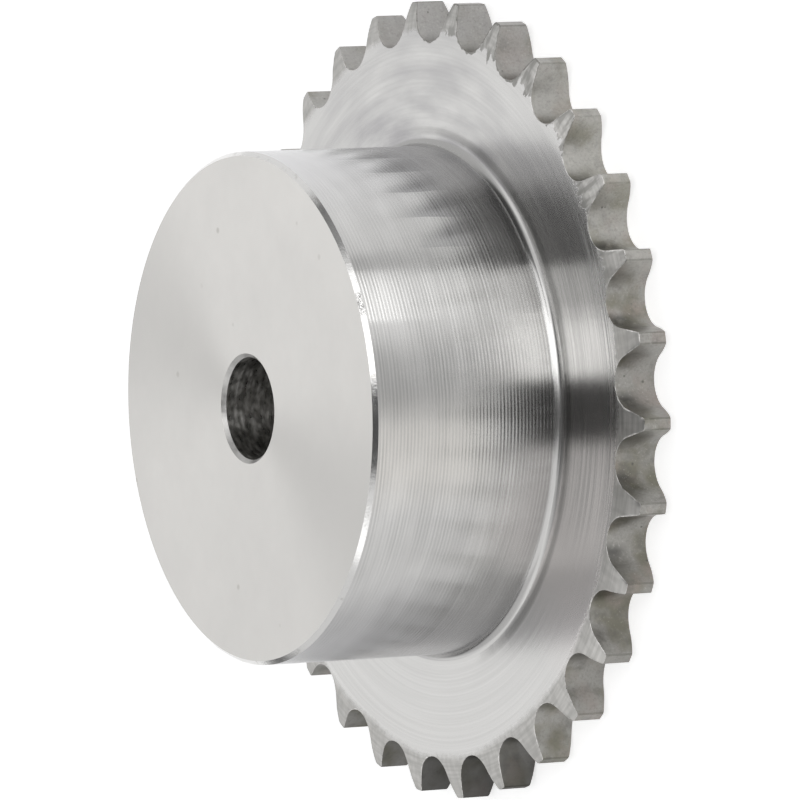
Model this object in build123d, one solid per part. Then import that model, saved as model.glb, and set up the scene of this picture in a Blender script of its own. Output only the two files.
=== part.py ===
from build123d import *
import os
from math import acos, cos, degrees, radians, sin

# Sprocket for a simple roller chain: a toothed plate with a hub on one side.
# It is one piece of steel, turned on a lathe and then hobbed.
# All sizes are in millimetres.
# The origin is the centre of the plate's back face, and +Z runs along the bore to the hub's end.
# One tooth gap is centred on +X.

# The chain that the teeth fit
CHAIN_PITCH = 9.525
ROLLER_DIAMETER = 6.35
TEETH = 30

# Tooth form
SEAT_CLEARANCE = 0.125       # the seat's arc is this much larger in radius than the roller
SEAT_ANGLE = 134.0           # angle that the seat's arc spans, in degrees
FLANK_RADIUS = 40.0          # convex side of a tooth, from the seat to the tip
TOOTH_DEPTH = 4.8            # from the bottom of the seat to the tip circle
TOOTH_WIDTH = 5.3            # thickness of the plate
RELIEF_DEPTH = 0.9           # taken off each side of a tooth, measured at its tip
RELIEF_RADIUS = 15.0         # arc of that relief, which leaves the plate's face without a step
TIP_BREAK = 0.15             # small chamfer on the two corners of each tip

# Hub and bore
HUB_DIAMETER = 60.0
HUB_LENGTH = 24.7            # how far the hub stands above the plate
HUB_CHAMFER = 0.5
HUB_ROOT_RADIUS = 1.2        # fillet between the hub and the plate
BORE_DIAMETER = 12.0
BORE_CHAMFER = 0.45

CUTTER_OVERRUN = 1.0         # how far a gap's outline runs past the tip circle
EDGE_TOLERANCE = 0.001       # for picking out edges by their radius

pitch_radius = CHAIN_PITCH / 2 / sin(radians(180 / TEETH))
seat_radius = ROLLER_DIAMETER / 2 + SEAT_CLEARANCE
root_radius = pitch_radius - seat_radius
tip_radius = root_radius + TOOTH_DEPTH
relief_angle = degrees(acos(1 - RELIEF_DEPTH / RELIEF_RADIUS))
relief_start = tip_radius - RELIEF_RADIUS * sin(radians(relief_angle))
hub_radius = HUB_DIAMETER / 2
bore_radius = BORE_DIAMETER / 2
overall_width = TOOTH_WIDTH + HUB_LENGTH


def turned_section():
    """Half of the blank's section, in the XZ plane, as the lathe leaves it."""
    with BuildSketch(Plane.XZ) as section:
        with BuildLine():
            back_centre = (relief_start, RELIEF_RADIUS)
            front_centre = (relief_start, TOOTH_WIDTH - RELIEF_RADIUS)
            back_relief = CenterArc(back_centre, RELIEF_RADIUS, 270, relief_angle)
            front_relief = CenterArc(front_centre, RELIEF_RADIUS, 90, -relief_angle)
            Line(back_relief @ 1, front_relief @ 1)
            Polyline(
                front_relief @ 0,
                (hub_radius, TOOTH_WIDTH),
                (hub_radius, overall_width - HUB_CHAMFER),
                (hub_radius - HUB_CHAMFER, overall_width),
                (bore_radius + BORE_CHAMFER, overall_width),
                (bore_radius, overall_width - BORE_CHAMFER),
                (bore_radius, BORE_CHAMFER),
                (bore_radius + BORE_CHAMFER, 0),
                back_relief @ 0,
            )
        make_face()
        hub_root = section.vertices().sort_by_distance((hub_radius, 0, TOOTH_WIDTH))[0]
        fillet(hub_root, HUB_ROOT_RADIUS)
    return section.sketch


def tooth_gap():
    """Outline of the gap on +X: an arc that seats the roller, between two convex flanks."""
    seat_half = radians(SEAT_ANGLE / 2)
    reach = seat_radius + FLANK_RADIUS
    flank_centre = (pitch_radius - reach * cos(seat_half), reach * sin(seat_half))
    outer_x = tip_radius + CUTTER_OVERRUN
    flank_end = -degrees(acos((outer_x - flank_centre[0]) / FLANK_RADIUS))
    flank_start = -SEAT_ANGLE / 2
    with BuildSketch() as gap:
        with BuildLine():
            CenterArc((pitch_radius, 0), seat_radius, 180, -SEAT_ANGLE / 2)
            flank = CenterArc(flank_centre, FLANK_RADIUS, flank_start, flank_end - flank_start)
            Line(flank @ 1, (outer_x, 0))
            mirror(about=Plane.XZ)
        make_face()
    return gap.sketch


def tip_corners(part):
    """The axial edges where the flanks of the teeth meet their tip lands."""
    def is_on_tip_circle(edge):
        centre = edge.center()
        return abs(Vector(centre.X, centre.Y).length - tip_radius) < EDGE_TOLERANCE
    return part.edges().filter_by(Axis.Z).filter_by(is_on_tip_circle)


def sprocket():
    """The turned blank with its teeth cut."""
    with BuildPart() as part:
        add(turned_section())
        revolve(axis=Axis.Z)
        with BuildSketch():
            with PolarLocations(0, TEETH):
                add(tooth_gap())
        extrude(amount=TOOTH_WIDTH, mode=Mode.SUBTRACT)
        chamfer(tip_corners(part), TIP_BREAK)
    return part.part


os.makedirs("parts", exist_ok=True)
export_step(sprocket(), "parts/sprocket.step")
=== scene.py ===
# Chain sprocket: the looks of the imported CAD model, in its own frame.
# Sizes of the part are in millimetres, as in its CAD source, and are turned into metres with MM.
import math

import bpy
import numpy as np
from mathutils import Matrix, Vector


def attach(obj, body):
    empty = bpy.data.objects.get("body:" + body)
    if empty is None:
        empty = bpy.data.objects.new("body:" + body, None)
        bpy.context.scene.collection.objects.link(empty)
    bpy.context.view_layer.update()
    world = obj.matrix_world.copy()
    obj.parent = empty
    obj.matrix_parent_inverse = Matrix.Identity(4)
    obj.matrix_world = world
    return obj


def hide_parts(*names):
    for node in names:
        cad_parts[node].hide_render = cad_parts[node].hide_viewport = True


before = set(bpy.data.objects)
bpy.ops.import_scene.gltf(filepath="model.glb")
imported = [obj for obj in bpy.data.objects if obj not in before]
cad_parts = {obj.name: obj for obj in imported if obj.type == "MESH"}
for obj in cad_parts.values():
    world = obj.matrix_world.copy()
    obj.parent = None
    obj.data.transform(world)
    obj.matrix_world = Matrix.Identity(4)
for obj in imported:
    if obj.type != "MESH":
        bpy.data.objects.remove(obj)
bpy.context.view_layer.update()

MM = 0.001

# The part's named sizes
CHAIN_PITCH = 9.525
ROLLER_DIAMETER = 6.35
TEETH = 30
SEAT_CLEARANCE = 0.125
SEAT_ANGLE = 134.0
FLANK_RADIUS = 40.0
TOOTH_DEPTH = 4.8
TOOTH_WIDTH = 5.3
RELIEF_DEPTH = 0.9
RELIEF_RADIUS = 15.0
TIP_BREAK = 0.15
HUB_DIAMETER = 60.0
HUB_LENGTH = 24.7
HUB_CHAMFER = 0.5
HUB_ROOT_RADIUS = 1.2
BORE_DIAMETER = 12.0
BORE_CHAMFER = 0.45

pitch_radius = CHAIN_PITCH / 2 / math.sin(math.pi / TEETH)
seat_radius = ROLLER_DIAMETER / 2 + SEAT_CLEARANCE
tip_radius = pitch_radius - seat_radius + TOOTH_DEPTH
relief_reach = math.sqrt(RELIEF_RADIUS**2 - (RELIEF_RADIUS - RELIEF_DEPTH) ** 2)
relief_start = tip_radius - relief_reach
hub_radius = HUB_DIAMETER / 2
root_end = hub_radius + HUB_ROOT_RADIUS
bore_radius = BORE_DIAMETER / 2
overall_width = TOOTH_WIDTH + HUB_LENGTH

# How finely the mesh follows the part
SEAT_STEPS = 10
FLANK_STEPS = 7
LAND_STEPS = 2
TOOTH_SIDE_ROWS = 8
GAP_WALL_ROWS = 4
BORE_ROWS = 5
FACE_ROWS = 4
HUB_ROWS = 7
PLATE_ROWS = 5
ROOT_STEPS = 10
BURNISHED_FROM, BURNISHED_TO = 2, 8  # the steps of the root radius that the tool's corner left bright
DISC_RADIUS = relief_start - 0.7  # inside it, every row of the mesh is a plain circle
SHARP_ANGLE = 25.0
ON_TIP = 0.001  # how close to the tip radius a point counts as on it

# The worn edge round the tooth gaps
EDGE_BREAK = 0.03  # its least width
BURR = 0.16  # how much wider the cutter's burr makes it in places
BURR_MIDDLE, BURR_SPREAD = 74.0, 28.0  # where round the part, in degrees, the burr is at its worst
BURR_PLATEAU = 1.3  # above 1, so that the middle of that stretch is at the worst throughout
PATCH_SMOOTHING = 6
PATCH_FROM, PATCH_WIDTH = 0.45, 0.2
FRONT_SEED, BACK_SEED = 7, 21

# Tool marks: the distance from one to the next
TURNING_FEED = 0.46
HUB_FACING_FEED = 0.22
PLATE_FACING_FEED = 0.3
DRILLING_FEED = 0.7
MARK_WANDER = 0.14  # how far a mark strays, as a share of its feed

# Where the looks change. Angles go round the bore from +X, in radians unless degrees are named.
UPPER_HUB = (0.50, 0.68, 1.7, 2.0)  # smooth, with fingers of painted dark reflection: starts, is whole, fades, ends
LOWER_HUB = (-2.8, -2.2, -0.75, -0.15)  # fainter tool marks
SHADED_ROOT = (0.40, 0.62, 2.2, 2.8)
DRAGGED = (0.1, 0.5, 1.3, 1.7)  # the hob dragged torn metal over the sides of these teeth
ROOT_SHADE_SHOWN = (-1.35, -1.0, 1.2, 1.7)  # painted shade: a dark ring beside the hub's root shows here
WARM_HUB = -0.22
SCUFFED_EDGE = 0.37
ROSY_PLATE = -0.46
# Where the gaps get painted light, and then painted shade
PAINTED_LIGHT_GAPS = 0.66
PAINTED_SHADE_GAPS = -0.20
DEEPER_SHADE_GAPS = -0.70
PAINTED_SHEEN_WEDGE = 150.0  # the diameter of the hub's end, in degrees, along which a painted sheen makes it duller
FINGERS = 40  # the fingers of painted dark reflection along the hub's upper side, if they went all round
FINGER_EDGE = 43.5  # where the lowest of them has its lower edge, in degrees
FINGER_REACH = (19.5, 12.0)  # the height where each one fades out, at its lower and its upper edge
RELIEF_SEEN = 42.8  # the radius at which the duller finish of the teeth's sides starts, more or less

# The finish of each surface
FACE, SIDE, EDGE, ROOT, PLATE, GAP, GAP_EDGE, LAND, BREAK, RIM, BORE, BACK = range(12)

# Light
FILL_LIGHT = 0.45  # the even light that matt surfaces get from all round
TENT_LEAST = 0.08  # the tent between its panels
HIGH_BAND = (42.0, 49.0, 66.0, 76.0)  # elevations in degrees: starts, is whole, fades, ends
FLOOR_COLOUR = 0.9
FLOOR_LIFT_SEEN = 0.62
FLOOR_LIFT_MIRRORED = 0.52
FLOOR_HALF = 12.0
FLOOR_DROP = 0.02  # the floor lies this much under the part, in millimetres
HUB_SHADES_FROM = (0.052, 0.064)  # metres from the axis where the hub's shades start and are whole
GAP_SHADES_TO = (0.056, 0.068)  # metres from the axis where the gaps' shades fade and end
LAMP_AZIMUTH, LAMP_OUT, LAMP_UP = 35.5, 0.066, 0.024  # in degrees, and from the origin in metres
LAMP_WIDTH, LAMP_HEIGHT = 0.022, 0.026
LAMP_RADIANCE = 1.4

# Camera: on the +X side, about 29 degrees above the plate, turned on its side as in the photograph
CAMERA_PLACE = Vector((0.98411, -0.02051, 0.57075))
CAMERA_AIM = Vector((0.004401, 0.000075, 0.012))
CAMERA_UP = Vector((0.04429, 0.99818, -0.04088))
CAMERA_LENS = 433.085
CAMERA_CLIP = (0.05, 50.0)
SENSOR_WIDTH = 36.0


def turn(points, angle):
    """The points turned about the bore's axis."""
    c, s = math.cos(angle), math.sin(angle)
    return np.column_stack([points[:, 0] * c - points[:, 1] * s, points[:, 0] * s + points[:, 1] * c])


def half_gap():
    """Half of one tooth gap's outline, from its bottom on +X to the middle of the next tooth's tip."""
    half = math.radians(SEAT_ANGLE / 2)
    seat = np.linspace(0, half, SEAT_STEPS + 1)
    seat = np.column_stack([pitch_radius - seat_radius * np.cos(seat), seat_radius * np.sin(seat)])
    reach = seat_radius + FLANK_RADIUS
    centre = np.array([pitch_radius - reach * math.cos(half), reach * math.sin(half)])
    far = np.hypot(*centre)
    lean = math.acos((tip_radius**2 - far**2 - FLANK_RADIUS**2) / (2 * FLANK_RADIUS * far))
    end = math.atan2(centre[1], centre[0]) - lean
    flank = np.linspace(-half, end - TIP_BREAK / FLANK_RADIUS, FLANK_STEPS + 1)[1:]
    flank = centre + FLANK_RADIUS * np.column_stack([np.cos(flank), np.sin(flank)])
    corner = centre + FLANK_RADIUS * np.array([math.cos(end), math.sin(end)])
    land_start = math.atan2(corner[1], corner[0]) + TIP_BREAK / tip_radius
    land = np.linspace(land_start, math.pi / TEETH, LAND_STEPS + 1)
    land = tip_radius * np.column_stack([np.cos(land), np.sin(land)])
    return np.vstack([seat, flank, land])


def outline():
    """The toothed outline, all round, as points that start at the middle of a tooth's tip."""
    half = half_gap()
    gap = np.vstack([half[:0:-1] * [1, -1], half[:-1]])
    return np.vstack([turn(gap, 2 * math.pi * k / TEETH) for k in range(TEETH)])


def drawn_in(points, distances):
    """A closed outline with each point moved into the material by its distance."""
    along = np.roll(points, -1, 0) - np.roll(points, 1, 0)
    along /= np.linalg.norm(along, axis=1)[:, None]
    return points - distances[:, None] * np.column_stack([along[:, 1], -along[:, 0]])


def ragged_edge(count, seed):
    """The worn edge's width at each point of the outline: mostly least, more where a burr was left."""
    rough = np.random.RandomState(seed).rand(count)
    patches = np.random.RandomState(seed + 1).rand(count)
    for _ in range(PATCH_SMOOTHING):
        patches = (np.roll(patches, 1) + patches + np.roll(patches, -1)) / 3
    patches = np.clip((patches - PATCH_FROM) / PATCH_WIDTH, 0, 1)
    degrees_round = np.arange(count) * 360 / count
    worst = np.clip(BURR_PLATEAU - abs(degrees_round - BURR_MIDDLE) / BURR_SPREAD, 0, 1)
    return EDGE_BREAK + BURR * rough * np.maximum(patches, worst) * (1 + worst)


def relief(radius):
    """How far the tooth's side lies behind the plate's face at a radius."""
    past = np.clip(radius - relief_start, 0, relief_reach)
    return RELIEF_RADIUS - np.sqrt(RELIEF_RADIUS**2 - past**2)


class Skin:
    """Closed rows of points, joined one to the next by strips of faces, each strip with one finish."""

    def __init__(self, outer):
        self.outer = outer
        self.spokes = outer / np.linalg.norm(outer, axis=1)[:, None]
        self.rows, self.finish = [], []

    def add(self, points, height, finish):
        height = np.broadcast_to(height, (len(points),))
        self.rows.append(np.column_stack([points, height]))
        self.finish.append(finish)

    def circle(self, radius, height, finish):
        self.add(self.spokes * radius, height, finish)

    def side(self, front):
        """One side of the teeth, between the plain disc and the edge of the gaps."""
        inner = drawn_in(self.outer, ragged_edge(len(self.outer), FRONT_SEED if front else BACK_SEED))
        steps = np.linspace(0, 1, TOOTH_SIDE_ROWS + 1)
        for t in steps if front else steps[::-1]:
            points = self.spokes * DISC_RADIUS * (1 - t) + inner * t
            drop = relief(np.linalg.norm(points, axis=1))
            height = TOOTH_WIDTH - drop if front else drop
            last = front and t == 1
            self.add(points, height, GAP_EDGE if last else PLATE if front else BACK)

    def wall(self):
        """The tooth gaps and the tips, from the front side to the back."""
        drop = relief(np.linalg.norm(self.outer, axis=1)) + EDGE_BREAK
        for t in np.linspace(0, 1, GAP_WALL_ROWS + 1):
            height = (TOOTH_WIDTH - drop) * (1 - t) + drop * t
            self.add(self.outer, height, GAP)

    def mesh(self, name):
        rows, columns = len(self.rows), len(self.outer)
        first = np.arange(rows * columns).reshape(rows, columns)
        after = np.roll(first, -1, 0)
        quads = np.stack([first, after, np.roll(after, -1, 1), np.roll(first, -1, 1)], -1)
        mesh = bpy.data.meshes.new(name)
        mesh.from_pydata((np.vstack(self.rows) * MM).tolist(), [], quads.reshape(-1, 4).tolist())
        finish = np.repeat(np.array(self.finish), columns).reshape(rows, columns)
        starts = np.linalg.norm(self.outer, axis=1)
        ends = np.linalg.norm(np.roll(self.outer, -1, 0), axis=1)
        touches_tip = np.maximum(starts, ends) > tip_radius - ON_TIP
        on_tip = np.minimum(starts, ends) > tip_radius - ON_TIP
        finish = np.where((finish == GAP) & touches_tip, BREAK, finish)
        finish = np.where((finish == BREAK) & on_tip, LAND, finish)
        mesh.polygons.foreach_set("material_index", finish.ravel().astype(np.int32))
        mesh.update()
        return mesh


def add_root(skin):
    """The radius between the hub and the plate, of which only the middle steps are bright."""
    for step in range(ROOT_STEPS):
        a = math.pi / 2 * step / ROOT_STEPS
        out, down = HUB_ROOT_RADIUS * (1 - math.cos(a)), HUB_ROOT_RADIUS * math.sin(a)
        if step < BURNISHED_FROM:
            finish = SIDE
        elif step < BURNISHED_TO:
            finish = ROOT
        else:
            finish = PLATE
        skin.circle(hub_radius + out, TOOTH_WIDTH + HUB_ROOT_RADIUS - down, finish)


def sprocket_mesh():
    """The whole part as one closed skin: the bore, the hub, the plate's face, the teeth and the back."""
    skin = Skin(outline())
    for z in np.linspace(BORE_CHAMFER, overall_width - BORE_CHAMFER, BORE_ROWS)[:-1]:
        skin.circle(bore_radius, z, BORE)
    skin.circle(bore_radius, overall_width - BORE_CHAMFER, RIM)
    for r in np.linspace(bore_radius + BORE_CHAMFER, hub_radius - HUB_CHAMFER, FACE_ROWS)[:-1]:
        skin.circle(r, overall_width, FACE)
    skin.circle(hub_radius - HUB_CHAMFER, overall_width, EDGE)
    for z in np.linspace(overall_width - HUB_CHAMFER, TOOTH_WIDTH + HUB_ROOT_RADIUS, HUB_ROWS)[:-1]:
        skin.circle(hub_radius, z, SIDE)
    add_root(skin)
    for r in np.linspace(root_end, DISC_RADIUS, PLATE_ROWS)[:-1]:
        skin.circle(r, TOOTH_WIDTH, PLATE)
    skin.side(front=True)
    skin.wall()
    skin.side(front=False)
    for r in np.linspace(DISC_RADIUS, bore_radius + BORE_CHAMFER, PLATE_ROWS)[1:-1]:
        skin.circle(r, 0, BACK)
    skin.circle(bore_radius + BORE_CHAMFER, 0, RIM)
    return skin.mesh("sprocket_steel")


def put(tree, value, target):
    """Feeds a node's input with another node's output, or with a plain value."""
    if isinstance(value, bpy.types.NodeSocket):
        tree.links.new(value, target)
    else:
        target.default_value = value


def node_math(tree, operation, *values):
    made = tree.nodes.new("ShaderNodeMath")
    made.operation = operation
    for value, target in zip(values, made.inputs):
        put(tree, value, target)
    return made.outputs[0]


class Finish:
    """One node material of steel, with short calls for the nodes that the finishes share."""

    def __init__(self, name):
        self.material = bpy.data.materials.new(name)
        self.material.use_nodes = True
        self.tree = self.material.node_tree
        self.shader = self.tree.nodes["Principled BSDF"]
        self.shader.inputs["Metallic"].default_value = 1.0
        place = self.node("ShaderNodeTexCoord").outputs["Object"]
        scaled = self.node("ShaderNodeVectorMath", operation="SCALE")
        self.link(place, scaled.inputs[0])
        scaled.inputs["Scale"].default_value = 1 / MM
        self.place = scaled.outputs[0]
        parts = self.node("ShaderNodeSeparateXYZ")
        self.link(self.place, parts.inputs[0])
        x, self.y, self.z = parts.outputs
        squares = self.add(self.times(x, x), self.times(self.y, self.y))
        self.radius = self.math("SQRT", squares)
        self.angle = self.math("ARCTAN2", self.y, x)
        self.upper = self.math("SINE", self.angle)

    def node(self, kind, **settings):
        made = self.tree.nodes.new(kind)
        for key, value in settings.items():
            setattr(made, key, value)
        return made

    def link(self, source, target):
        self.tree.links.new(source, target)

    def put(self, value, target):
        put(self.tree, value, target)

    def math(self, operation, *values):
        return node_math(self.tree, operation, *values)

    def add(self, a, b):
        return self.math("ADD", a, b)

    def less(self, a, b):
        return self.math("SUBTRACT", a, b)

    def times(self, a, b):
        return self.math("MULTIPLY", a, b)

    def either_way(self, noise, size):
        """A noise from 0 to 1, turned into a distance of up to half the size either way."""
        return self.times(self.less(noise, 0.5), size)

    def shifted(self, distance):
        """The place on the part, moved along all three axes, so that two noises differ."""
        made = self.node("ShaderNodeVectorMath", operation="ADD")
        self.link(self.place, made.inputs[0])
        made.inputs[1].default_value = (distance, distance, distance)
        return made.outputs[0]

    def noise(self, where, scale, detail, roughness=0.5):
        made = self.node("ShaderNodeTexNoise")
        self.put(where, made.inputs["Vector"])
        made.inputs["Scale"].default_value = scale
        made.inputs["Detail"].default_value = detail
        made.inputs["Roughness"].default_value = roughness
        return made.outputs["Fac"]

    def noise_along(self, distance, scale, detail):
        """A noise that changes along one line only."""
        made = self.node("ShaderNodeTexNoise", noise_dimensions="1D")
        self.put(distance, made.inputs["W"])
        made.inputs["Scale"].default_value = scale
        made.inputs["Detail"].default_value = detail
        return made.outputs["Fac"]

    def span(self, value, low, high, to_low, to_high, smooth=False):
        made = self.node("ShaderNodeMapRange")
        if smooth:
            made.interpolation_type = "SMOOTHSTEP"
        self.put(value, made.inputs["Value"])
        names = ("From Min", "From Max", "To Min", "To Max")
        for name, number in zip(names, (low, high, to_low, to_high)):
            self.put(number, made.inputs[name])
        return made.outputs["Result"]

    def between(self, value, starts, whole, fades, ends, share=1.0):
        """0, then up to the share, and back to 0."""
        rises = self.span(value, starts, whole, 0.0, share)
        return self.times(rises, self.span(value, fades, ends, 1.0, 0.0))

    def near(self, middle, whole, ends, share=1.0):
        """The share round an angle: whole up to a distance either side of it, and 0 where it ends."""
        off = self.math("ABSOLUTE", self.less(self.angle, middle))
        return self.span(off, whole, ends, share, 0.0)

    def mix(self, share, a, b):
        """Colour a, with a share of colour b. Inputs 6 and 7 are the colours of this kind of node."""
        made = self.node("ShaderNodeMix", data_type="RGBA")
        self.put(share, made.inputs["Factor"])
        for value, target in ((a, made.inputs[6]), (b, made.inputs[7])):
            self.put(value if isinstance(value, bpy.types.NodeSocket) else (*value, 1.0), target)
        return made.outputs[2]

    def polar(self, along, across):
        """A point that goes round a circle of size along, and rises with the radius and the height."""
        made = self.node("ShaderNodeCombineXYZ")
        self.put(self.times(self.math("COSINE", self.angle), along), made.inputs[0])
        self.put(self.times(self.upper, along), made.inputs[1])
        self.put(self.times(self.add(self.radius, self.z), across), made.inputs[2])
        return made.outputs[0]

    def lines(self, across, pitch):
        """Tool marks one feed apart, each a little deeper or shallower than the next, from -1 to 1."""
        shift = self.times(self.noise_along(across, 0.9 / pitch, 1.0), MARK_WANDER * 2 * math.pi)
        turns = self.add(self.times(across, 2 * math.pi / pitch), shift)
        depth = self.span(self.noise_along(across, 0.55 / pitch, 2.0), 0.3, 0.7, 0.55, 1.0)
        return self.times(self.math("SINE", turns), depth)

    def bump(self, height, distance):
        made = self.node("ShaderNodeBump")
        made.inputs["Strength"].default_value = 1.0
        made.inputs["Distance"].default_value = distance * MM
        self.put(height, made.inputs["Height"])
        self.link(made.outputs["Normal"], self.shader.inputs["Normal"])

    def grain(self, anisotropy):
        """The reflection spreads across the tool marks, which run round the bore."""
        tangent = self.node("ShaderNodeTangent", direction_type="RADIAL", axis="Z")
        self.link(tangent.outputs[0], self.shader.inputs["Tangent"])
        self.shader.inputs["Anisotropic"].default_value = anisotropy
        self.shader.inputs["Anisotropic Rotation"].default_value = 0.25

    def colour(self, value):
        self.put(value, self.shader.inputs["Base Color"])

    def rough(self, value):
        self.put(value, self.shader.inputs["Roughness"])

    def pits(self, scale, share):
        """1 in a few small pits, and 0 elsewhere."""
        made = self.node("ShaderNodeTexVoronoi", feature="F1")
        self.link(self.place, made.inputs["Vector"])
        made.inputs["Scale"].default_value = scale
        made.inputs["Randomness"].default_value = 1.0
        chosen = self.node("ShaderNodeSeparateColor")
        self.link(made.outputs["Color"], chosen.inputs[0])
        few = self.span(chosen.outputs[0], share - 0.01, share, 1.0, 0.0)
        inside = self.span(made.outputs["Distance"], 0.08, 0.2, 1.0, 0.0, smooth=True)
        return self.times(few, inside)


def shade(tint, red, green, blue):
    """The tint with each of its three colours made stronger or weaker."""
    return (tint[0] * red, tint[1] * green, tint[2] * blue)


def faced_end():
    """The hub's end: faced off with a fine feed, nearly matt, with faint clouds, a few specks and painted
    shade.
    """
    f = Finish("faced_end")
    # The colour that the painted shade and the painted sheen below mix in
    dull = (0.36, 0.355, 0.345)
    clouds = f.noise(f.place, 0.09, 4.0, roughness=0.6)
    tone = f.mix(f.span(clouds, 0.3, 0.7, 0.0, 1.0), (0.635, 0.625, 0.608), (0.705, 0.694, 0.675))
    # Painted shade: the end darker towards -Y
    tone = f.mix(f.span(f.y, -26.0, 26.0, 0.14, 0.0), tone, dull)
    # Painted sheen: the end duller along one diameter
    twice_round = f.add(f.times(f.angle, 2.0), -2.0 * math.radians(PAINTED_SHEEN_WEDGE))
    painted_sheen = f.math("POWER", f.math("MAXIMUM", f.math("COSINE", twice_round), 0.0), 3.0)
    tone = f.mix(f.times(painted_sheen, 0.28), tone, dull)
    specks = f.pits(0.42, 0.03)
    f.colour(f.mix(f.times(specks, 0.35), tone, (0.30, 0.28, 0.25)))
    f.rough(f.span(clouds, 0.25, 0.75, 0.50, 0.58))
    marks = f.add(f.times(f.lines(f.radius, HUB_FACING_FEED), 0.35), f.noise(f.place, 6.0, 3.0))
    f.bump(f.less(marks, specks), 0.004)
    f.grain(0.35)
    return f.material


def painted_dark_reflections(f):
    """A stair of dark fingers along the hub, painted dark reflection, each crisp at its lower edge and soft
    where it ends.
    """
    wobble = f.noise(f.polar(5.0, 0.06), 1.0, 2.0)
    first_edge = FINGER_EDGE * FINGERS / 360
    steps = f.add(f.times(f.angle, FINGERS / (2 * math.pi)), f.times(wobble, 0.5))
    stair = f.math("FRACT", f.less(steps, first_edge + 0.25))
    reach = f.add(f.span(stair, 0.0, 1.0, *FINGER_REACH), f.span(wobble, 0.3, 0.7, -1.5, 2.5))
    fingers = f.span(f.less(f.z, reach), -3.0, 2.0, 0.55, 0.0, smooth=True)
    return f.times(fingers, f.span(f.z, 10.0, 15.0, 0.0, 1.0))


def turned_side():
    """The hub's turned side: the feed as fine bright and dark lines, with painted shade and painted dark
    reflections.
    """
    f = Finish("turned_side")
    streaks = f.noise(f.polar(0.8, 5.0), 1.0, 1.0)
    tone = f.mix(f.span(streaks, 0.3, 0.7, 0.0, 1.0), (0.57, 0.565, 0.555), (0.65, 0.645, 0.635))
    cool = f.span(f.math("ABSOLUTE", f.angle), 0.7, 1.2, 0.0, 0.5)
    tone = f.mix(cool, tone, (0.60, 0.598, 0.622))
    warm = f.times(f.near(WARM_HUB, 0.08, 0.26, 0.5), f.span(f.z, 12.0, 18.0, 0.0, 1.0))
    tone = f.mix(warm, tone, (0.63, 0.605, 0.565))
    upper_hub = f.between(f.angle, *UPPER_HUB)
    lower_hub = f.between(f.angle, *LOWER_HUB, 0.7)
    feed = f.times(f.lines(f.z, TURNING_FEED), f.span(upper_hub, 0.0, 1.0, 1.0, 0.25))
    feed = f.times(feed, f.less(1.0, lower_hub))
    # Painted dark reflection: the fingers along the upper side
    tone = f.mix(f.times(painted_dark_reflections(f), upper_hub), tone, (0.26, 0.26, 0.27))
    # Painted shade in the grooves of the tool's feed
    patches = f.span(f.noise(f.polar(2.5, 0.25), 1.0, 2.0), 0.35, 0.65, 0.12, 0.38)
    painted_groove_shade = f.times(f.span(feed, -1.0, 1.0, 1.0, 0.0), patches)
    f.colour(f.mix(painted_groove_shade, tone, (0.05, 0.05, 0.05)))
    f.rough(f.span(streaks, 0.25, 0.75, 0.18, 0.24))
    f.bump(f.add(feed, f.times(streaks, 0.3)), 0.008)
    f.grain(0.93)
    return f.material


def bright_edge():
    """The chamfer at the hub's end: cut by a sharp tool, nearly mirror bright, scuffed in one place."""
    f = Finish("bright_edge")
    dents = f.noise(f.place, 0.8, 4.0, roughness=0.7)
    scuffs = f.span(f.noise(f.place, 7.0, 2.0), 0.46, 0.62, 0.0, 0.7)
    scuffs = f.times(f.near(SCUFFED_EDGE, 0.02, 0.06), scuffs)
    tone = f.mix(f.span(dents, 0.55, 0.75, 0.0, 1.0), (0.76, 0.755, 0.745), (0.55, 0.54, 0.52))
    f.colour(f.mix(scuffs, tone, (0.22, 0.215, 0.21)))
    f.rough(f.span(dents, 0.4, 0.8, 0.10, 0.24))
    f.bump(f.less(dents, f.times(scuffs, 2.0)), 0.015)
    return f.material


def gap_edge():
    """The worn edges of the gaps: lighter than the gaps, and dark where the burr is at its worst."""
    f = Finish("gap_edge")
    wear = f.noise(f.place, 2.6, 3.0)
    tone = f.mix(f.span(wear, 0.35, 0.6, 0.0, 1.0), (0.34, 0.335, 0.32), (0.66, 0.65, 0.635))
    burr = f.near(math.radians(BURR_MIDDLE), 0.35, 0.6, 0.85)
    f.colour(f.mix(burr, tone, (0.16, 0.157, 0.145)))
    f.rough(f.span(wear, 0.35, 0.65, 0.26, 0.40))
    f.bump(wear, 0.03)
    return f.material


def bore_rim():
    """The chamfers of the bore, duller than the hub's."""
    f = Finish("bore_rim")
    wear = f.noise(f.place, 0.9, 3.0)
    f.colour(f.mix(f.span(wear, 0.35, 0.65, 0.0, 1.0), (0.42, 0.415, 0.405), (0.56, 0.553, 0.54)))
    f.rough(f.span(wear, 0.35, 0.65, 0.30, 0.44))
    f.bump(wear, 0.03)
    return f.material


def hub_root():
    """The middle of the radius between hub and plate, burnished by the tool's corner."""
    f = Finish("hub_root")
    streaks = f.noise(f.polar(1.4, 2.0), 1.0, 3.0)
    tone = f.mix(f.span(streaks, 0.3, 0.7, 0.0, 1.0), (0.47, 0.465, 0.46), (0.57, 0.565, 0.555))
    f.colour(f.mix(f.between(f.angle, *SHADED_ROOT, 0.45), tone, (0.22, 0.218, 0.213)))
    f.rough(f.span(streaks, 0.25, 0.75, 0.20, 0.26))
    f.bump(streaks, 0.004)
    return f.material


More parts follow.
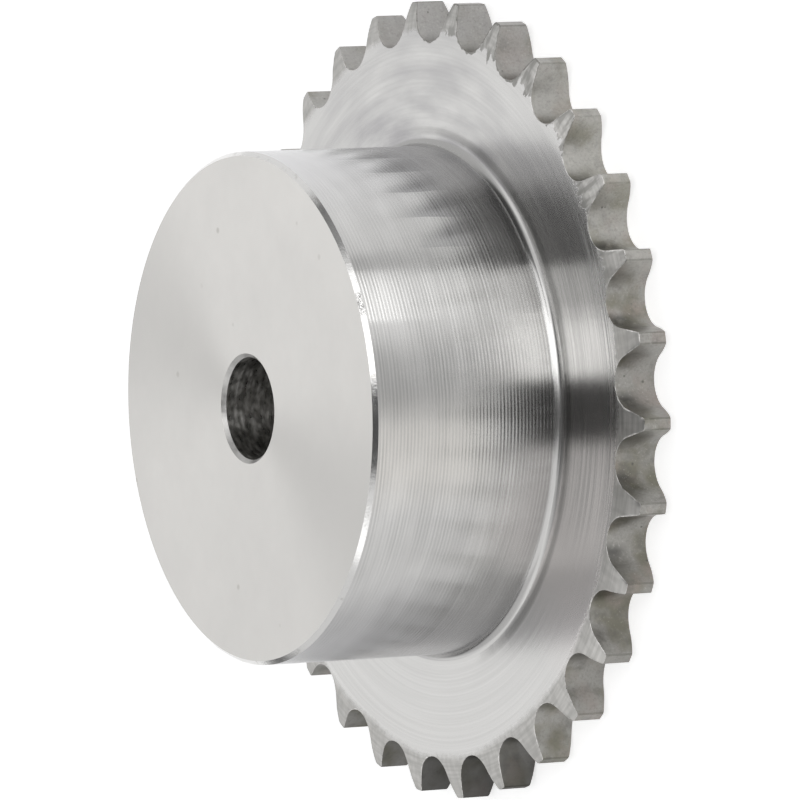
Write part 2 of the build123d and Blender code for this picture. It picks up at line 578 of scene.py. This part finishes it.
def relief_share(f, torn, dragged):
    """1 on the duller relief of the teeth and 0 on the smooth plate, with a ragged line between."""
    wander = f.either_way(f.noise(f.polar(2.6, 0.0), 1.0, 1.0), 2.4)
    wander = f.less(wander, f.times(f.upper, 0.9))
    ragged = f.either_way(f.noise(f.place, 2.2, 3.0), 0.9)
    ragged = f.add(ragged, f.either_way(torn, f.span(dragged, 0.0, 1.0, 0.2, 5.0)))
    reach = f.add(f.radius, f.add(wander, ragged))
    blur = f.span(dragged, 0.0, 1.0, 0.45, 0.1)
    return f.span(reach, f.less(RELIEF_SEEN, blur), f.add(RELIEF_SEEN, blur), 0.0, 1.0)


def smooth_plate(f, streaks):
    """The colour of the plate: fine arcs, rosy on one side, darker above, brushed on the right, painted
    shade by the root.
    """
    tone = f.mix(f.span(streaks, 0.3, 0.7, 0.0, 1.0), (0.545, 0.54, 0.53), (0.595, 0.59, 0.58))
    tone = f.mix(f.near(ROSY_PLATE, 0.25, 0.5, 0.9), tone, (0.645, 0.62, 0.612))
    # Darker patches, most towards the top and near the hub
    darker_above = f.span(f.noise(f.polar(3.0, 0.3), 1.0, 4.0), 0.35, 0.65, 0.0, 1.0)
    darker_above = f.times(darker_above, f.span(f.radius, hub_radius + 2, hub_radius + 12, 1.0, 0.5))
    darker_above = f.times(darker_above, f.span(f.upper, 0.3, 1.0, 0.06, 0.85))
    tone = f.mix(darker_above, tone, (0.325, 0.319, 0.328))
    brushed = f.span(f.noise(f.polar(1.8, 4.5), 1.0, 2.0), 0.42, 0.60, 0.0, 0.5)
    tone = f.mix(f.times(brushed, f.near(0.0, 0.35, 0.6)), tone, (0.36, 0.357, 0.352))
    # Painted shade: a dark ring on the plate beside the hub's root
    root_shade_ring = f.between(f.radius, root_end, root_end + 0.3, root_end + 0.8, root_end + 1.4, 0.5)
    return f.mix(f.times(root_shade_ring, f.between(f.angle, *ROOT_SHADE_SHOWN)), tone, (0.17, 0.168, 0.16))


def edge_scratches(f):
    """Fine scratches round the plate just inside the teeth, on its right as the camera sees it."""
    scratches = f.span(f.noise(f.polar(3.0, 5.5), 1.0, 2.0), 0.50, 0.62, 0.0, 1.0)
    scratches = f.times(scratches, f.span(f.radius, RELIEF_SEEN - 3.0, RELIEF_SEEN - 1.2, 0.0, 1.0))
    return f.times(scratches, f.near(0.0, 0.35, 0.7))


def turned_plate(name):
    """The plate's turned sides: smooth, up to a ragged line where the teeth's duller relief starts."""
    f = Finish(name)
    streaks = f.noise(f.polar(1.1, 3.2), 1.0, 1.0)
    fine = f.noise(f.polar(9.0, 3.0), 1.0, 3.0)
    torn = f.noise(f.polar(52.0, 0.5), 1.0, 2.0)
    dragged = f.between(f.angle, *DRAGGED)
    dull = relief_share(f, torn, dragged)
    scratches = edge_scratches(f)
    smooth = f.mix(f.times(scratches, 0.7), smooth_plate(f, streaks), (0.30, 0.30, 0.30))
    satin = f.mix(f.span(fine, 0.35, 0.65, 0.0, 1.0), (0.38, 0.375, 0.36), (0.48, 0.47, 0.455))
    scored = f.times(f.span(torn, 0.42, 0.6, 0.0, 1.0), f.span(dragged, 0.0, 1.0, 0.25, 0.85))
    satin = f.mix(scored, satin, (0.24, 0.237, 0.225))
    f.colour(f.mix(dull, smooth, satin))
    worn = f.add(f.times(dull, 0.17), f.times(scratches, 0.16))
    f.rough(f.add(f.span(streaks, 0.25, 0.75, 0.19, 0.22), worn))
    marks = f.add(f.times(f.lines(f.radius, PLATE_FACING_FEED), 0.15), f.times(streaks, 0.2))
    rough_cut = f.add(f.times(fine, 4.0), f.times(torn, 4.0))
    sunk = f.add(f.times(dull, 5.0), f.times(dull, rough_cut))
    sunk = f.add(sunk, f.times(scratches, 3.0))
    f.bump(f.less(marks, sunk), 0.003)
    f.grain(0.8)
    return f.material


def gap_patches(f, tint, clouds):
    """The colour of the gaps: the tint, with olive, warm and dark patches, and painted light at the top."""
    tone = f.mix(f.span(clouds, 0.3, 0.7, 0.0, 1.0), tint, shade(tint, 1.2, 1.2, 1.2))
    olive = f.span(f.noise(f.shifted(40.0), 0.22, 3.0), 0.46, 0.64, 0.0, 0.85)
    tone = f.mix(olive, tone, shade(tint, 0.62, 0.61, 0.50))
    warm = f.span(f.noise(f.shifted(90.0), 0.26, 3.0), 0.52, 0.7, 0.0, 0.6)
    tone = f.mix(warm, tone, shade(tint, 1.08, 0.96, 0.93))
    # Darker patches at random
    dark_patches = f.span(f.noise(f.shifted(-30.0), 0.5, 4.0, roughness=0.65), 0.54, 0.70, 0.0, 0.5)
    tone = f.mix(dark_patches, tone, shade(tint, 0.5, 0.5, 0.5))
    # Painted light: the gaps lighter towards the top
    return f.mix(f.span(f.upper, 0.72, 0.98, 0.0, 0.75), tone, shade(tint, 1.06, 1.06, 1.1))


def flank_dark_reflection(f):
    """The front part of one flank of each gap on the right, darkened as a painted dark reflection."""
    across = f.math("WRAP", f.times(f.angle, TEETH / (2 * math.pi)), 0.5, -0.5)
    flank_reflection = f.between(across, -0.33, -0.22, -0.2, -0.08)
    flank_reflection = f.times(flank_reflection, f.span(f.z, 2.2, 4.0, 0.0, 1.0))
    flank_reflection = f.times(flank_reflection, f.span(f.noise(f.place, 0.7, 3.0), 0.32, 0.48, 0.0, 0.8))
    return f.times(flank_reflection, f.near(0.0, 0.5, 0.9))


def cut_gap(name, tint):
    """The hobbed gaps: satin, warm and olive patches, small pits, bright grains, and painted light and
    shade.
    """
    f = Finish(name)
    clouds = f.noise(f.place, 0.35, 4.0, roughness=0.6)
    grit = f.noise(f.place, 3.2, 3.0, roughness=0.7)
    pits = f.pits(0.9, 0.14)
    tone = gap_patches(f, tint, clouds)
    # Painted shade: the gaps at the bottom much darker
    tone = f.mix(f.span(f.upper, -0.98, -0.90, 0.6, 0.0), tone, (0.05, 0.05, 0.05))
    # Painted light: lighter gaps round one angle
    tone = f.mix(f.near(PAINTED_LIGHT_GAPS, 0.15, 0.45, 0.22), tone, (0.62, 0.61, 0.57))
    # Painted shade: darker gaps round two angles
    painted_gap_shade = f.add(f.near(PAINTED_SHADE_GAPS, 0.22, 0.4, 0.14), f.near(DEEPER_SHADE_GAPS, 0.12, 0.3, 0.2))
    tone = f.mix(painted_gap_shade, tone, (0.10, 0.097, 0.085))
    # Painted dark reflection on one flank of each gap on the right
    tone = f.mix(flank_dark_reflection(f), tone, shade(tint, 0.3, 0.3, 0.3))
    tone = f.mix(f.span(grit, 0.3, 0.5, 0.35, 0.0), tone, shade(tint, 0.5, 0.5, 0.5))
    tone = f.mix(f.times(pits, 0.7), tone, (0.12, 0.12, 0.11))
    grains = f.times(f.span(grit, 0.60, 0.70, 0.0, 0.35), f.span(f.upper, -0.9, -0.4, 0.1, 1.0))
    f.colour(f.mix(grains, tone, (0.62, 0.61, 0.58)))
    f.rough(f.span(clouds, 0.3, 0.7, 0.34, 0.48))
    height = f.add(f.times(clouds, 1.5), f.times(grit, 0.5))
    f.bump(f.less(height, pits), 0.03)
    return f.material


def drilled_bore():
    """The bore: drilled, with fine rings along it, and dull inside."""
    f = Finish("drilled_bore")
    rings = f.lines(f.z, DRILLING_FEED)
    smears = f.noise(f.polar(5.0, 1.3), 1.0, 3.0)
    f.colour(f.mix(f.span(smears, 0.4, 0.65, 0.0, 1.0), (0.34, 0.335, 0.32), (0.56, 0.55, 0.53)))
    f.rough(f.add(f.span(rings, -1.0, 1.0, 0.26, 0.32), f.span(smears, 0.4, 0.62, 0.0, 0.12)))
    f.bump(f.add(rings, f.times(smears, 3.0)), 0.012)
    f.grain(0.7)
    return f.material


def add_sprocket():
    mesh = sprocket_mesh()
    finishes = {
        FACE: faced_end(),
        SIDE: turned_side(),
        EDGE: bright_edge(),
        ROOT: hub_root(),
        PLATE: turned_plate("turned_plate"),
        GAP: cut_gap("cut_gap", (0.36, 0.352, 0.333)),
        GAP_EDGE: gap_edge(),
        LAND: cut_gap("tip_land", (0.375, 0.365, 0.345)),
        BREAK: cut_gap("tip_break", (0.27, 0.265, 0.245)),
        RIM: bore_rim(),
        BORE: drilled_bore(),
        BACK: turned_plate("turned_back"),
    }
    for index in range(len(finishes)):
        mesh.materials.append(finishes[index])
    mesh.shade_smooth()
    mesh.set_sharp_from_angle(angle=math.radians(SHARP_ANGLE))
    piece = bpy.data.objects.new("sprocket_steel", mesh)
    bpy.context.scene.collection.objects.link(piece)
    weights = piece.modifiers.new("even_normals", "WEIGHTED_NORMAL")
    weights.keep_sharp = True
    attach(piece, "root")
    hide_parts("sprocket")


def add_camera():
    data = bpy.data.cameras.new("camera")
    data.lens = CAMERA_LENS
    data.sensor_width = SENSOR_WIDTH
    data.clip_start, data.clip_end = CAMERA_CLIP
    camera = bpy.data.objects.new("camera", data)
    back = (CAMERA_PLACE - CAMERA_AIM).normalized()
    right = CAMERA_UP.cross(back).normalized()
    up = back.cross(right)
    turned = Matrix((right, up, back)).transposed().to_4x4()
    camera.matrix_world = Matrix.Translation(CAMERA_PLACE) @ turned
    bpy.context.scene.collection.objects.link(camera)
    bpy.context.scene.camera = camera


class Surroundings:
    """Node helpers for light that comes from soft-edged panels, placed by azimuth and by elevation."""

    def __init__(self, tree, direction):
        self.tree = tree
        parts = tree.nodes.new("ShaderNodeSeparateXYZ")
        tree.links.new(direction, parts.inputs[0])
        in_degrees = 180 / math.pi
        turn_round = self.math("ARCTAN2", parts.outputs[1], parts.outputs[0])
        self.azimuth = self.math("MULTIPLY", turn_round, in_degrees)
        self.elevation = self.math("MULTIPLY", self.math("ARCSINE", parts.outputs[2]), in_degrees)

    def math(self, operation, *values):
        return node_math(self.tree, operation, *values)

    def rise(self, value, start, end):
        """0 below start, 1 above end."""
        made = self.tree.nodes.new("ShaderNodeMapRange")
        made.interpolation_type = "SMOOTHSTEP"
        self.tree.links.new(value, made.inputs["Value"])
        made.inputs["From Min"].default_value = start
        made.inputs["From Max"].default_value = end
        return made.outputs["Result"]

    def fall(self, value, start, end):
        """1 below start, 0 above end."""
        return self.math("SUBTRACT", 1.0, self.rise(value, start, end))

    def window(self, value, low, high, edge):
        enters = self.rise(value, low - edge, low + edge)
        return self.math("SUBTRACT", enters, self.rise(value, high - edge, high + edge))

    def sector(self, middle, width, level, edge):
        """Light of a level that depends on the azimuth alone, in degrees round from +X."""
        off = self.math("WRAP", self.math("SUBTRACT", self.azimuth, middle), 180.0, -180.0)
        return self.math("MULTIPLY", self.window(off, -width / 2, width / 2, edge), level)

    def panel(self, middle, width, low, high, level, edge):
        """A panel centred on an azimuth, between two elevations."""
        across = self.sector(middle, width, level, edge)
        return self.math("MULTIPLY", across, self.window(self.elevation, low, high, edge))

    def total(self, shares, base):
        for share in shares:
            base = self.math("ADD", share, base)
        return base


def floor_light(tree):
    """What the metal mirrors of the floor: painted light, a glow brighter and darker round the part."""
    place = tree.nodes.new("ShaderNodeTexCoord").outputs["Object"]
    around = Surroundings(tree, place)
    far = tree.nodes.new("ShaderNodeVectorMath")
    far.operation = "LENGTH"
    tree.links.new(place, far.inputs[0])
    distance = far.outputs["Value"]
    mirrored_by_hub = [
        around.sector(104, 92, 0.14, 12.0),
        around.sector(51, 9, -0.32, 2.5),  # a narrow dark line
        around.sector(35, 18, 0.09, 4.0),
        around.sector(7, 24, -0.42, 7.0),  # the broad dark band
        around.sector(-32, 36, 0.10, 8.0),
        around.sector(-110, 52, -0.2, 12.0),
    ]
    mirrored_by_gaps = [around.sector(-106, 66, -0.52, 10.0), around.sector(-56, 34, -0.10, 6.0)]
    outer = around.total(mirrored_by_hub, 0.0)
    outer = around.math("MULTIPLY", outer, around.rise(distance, *HUB_SHADES_FROM))
    inner = around.total(mirrored_by_gaps, 0.0)
    inner = around.math("MULTIPLY", inner, around.fall(distance, *GAP_SHADES_TO))
    return around.math("ADD", around.math("ADD", outer, inner), FLOOR_LIFT_MIRRORED)


def add_floor():
    """A plain floor: white to the camera but for the part's shadow, shaded to the metal by floor_light."""
    mesh = bpy.data.meshes.new("floor")
    sides = ((-1, -1), (1, -1), (1, 1), (-1, 1))
    corners = [(x * FLOOR_HALF, y * FLOOR_HALF, -FLOOR_DROP * MM) for x, y in sides]
    mesh.from_pydata(corners, [], [(0, 1, 2, 3)])
    floor = bpy.data.objects.new("floor", mesh)
    bpy.context.scene.collection.objects.link(floor)
    material = bpy.data.materials.new("white_floor")
    material.use_nodes = True
    tree = material.node_tree
    shader = tree.nodes["Principled BSDF"]
    shader.inputs["Base Color"].default_value = (FLOOR_COLOUR, FLOOR_COLOUR, FLOOR_COLOUR, 1.0)
    shader.inputs["Roughness"].default_value = 0.9
    shader.inputs["Specular IOR Level"].default_value = 0.0
    shader.inputs["Emission Color"].default_value = (1.0, 1.0, 1.0, 1.0)
    path = tree.nodes.new("ShaderNodeLightPath")
    seen = node_math(tree, "MULTIPLY", path.outputs["Is Camera Ray"], FLOOR_LIFT_SEEN)
    mirrored = node_math(tree, "MULTIPLY", path.outputs["Is Glossy Ray"], floor_light(tree))
    tree.links.new(node_math(tree, "ADD", seen, mirrored), shader.inputs["Emission Strength"])
    mesh.materials.append(material)


def add_world():
    """White to the camera, a light tent of panels to the metal, and an even light to matt surfaces."""
    world = bpy.data.worlds.new("studio")
    bpy.context.scene.world = world
    world.use_nodes = True
    tree = world.node_tree
    back = tree.nodes["Background"]
    back.inputs["Color"].default_value = (1.0, 1.0, 1.0, 1.0)
    sky = Surroundings(tree, tree.nodes.new("ShaderNodeTexCoord").outputs["Generated"])
    starts, whole, fades, ends = HIGH_BAND
    high = sky.math("MULTIPLY", sky.rise(sky.elevation, starts, whole), sky.fall(sky.elevation, fades, ends))
    behind = [
        sky.panel(159, 104, -8, 58, 0.78, 6.0),  # the back wall, for the hub's end and the upper plate
        sky.panel(181, 36, 12, 58, 0.26, 6.0),  # its brighter middle
    ]
    above = [
        sky.math("MULTIPLY", sky.sector(95, 170, 1.0, 4.0), high),
        sky.math("MULTIPLY", sky.sector(-112, 136, 0.65, 4.0), high),
        sky.panel(43, 58, 47, 68, 0.68, 4.0),  # for the hub's bright chamfer
    ]
    beside = [
        sky.panel(94, 40, 34, 46, 0.2, 5.0),
        sky.panel(20, 29, 4, 56, 2.3, 2.5),  # the bright band on the plate and the hub's foot
        sky.panel(-55, 62, 4, 50, 1.05, 4.0),  # for the plate's lower right
        sky.panel(-120, 68, 10, 58, 0.66, 6.0),  # for the plate's bottom
    ]
    tent = sky.total(behind + above + beside, TENT_LEAST)
    path = tree.nodes.new("ShaderNodeLightPath")
    matt = path.outputs["Is Diffuse Ray"]
    even = sky.math("MULTIPLY", matt, FILL_LIGHT)
    tent = sky.math("MULTIPLY", tent, sky.math("SUBTRACT", 1.0, matt))
    lit = sky.math("ADD", even, tent)
    tree.links.new(sky.math("MAXIMUM", path.outputs["Is Camera Ray"], lit), back.inputs["Strength"])


def add_lamp():
    """A small soft lamp close to the part, for the crisp band along the hub's side."""
    azimuth = math.radians(LAMP_AZIMUTH)
    place = Vector((LAMP_OUT * math.cos(azimuth), LAMP_OUT * math.sin(azimuth), LAMP_UP))
    aim = Vector((0, 0, LAMP_UP))
    data = bpy.data.lights.new("strip_light", "AREA")
    data.shape = "RECTANGLE"
    data.size, data.size_y = LAMP_WIDTH, LAMP_HEIGHT
    data.energy = LAMP_RADIANCE * math.pi * LAMP_WIDTH * LAMP_HEIGHT
    lamp = bpy.data.objects.new("strip_light", data)
    lamp.location = place
    lamp.rotation_mode = "QUATERNION"
    lamp.rotation_quaternion = (aim - place).to_track_quat("-Z", "Y")
    lamp.visible_camera = False
    lamp.visible_diffuse = False
    bpy.context.scene.collection.objects.link(lamp)


add_sprocket()
add_camera()
add_floor()
add_world()
add_lamp()
bpy.context.scene.view_settings.view_transform = "Standard"
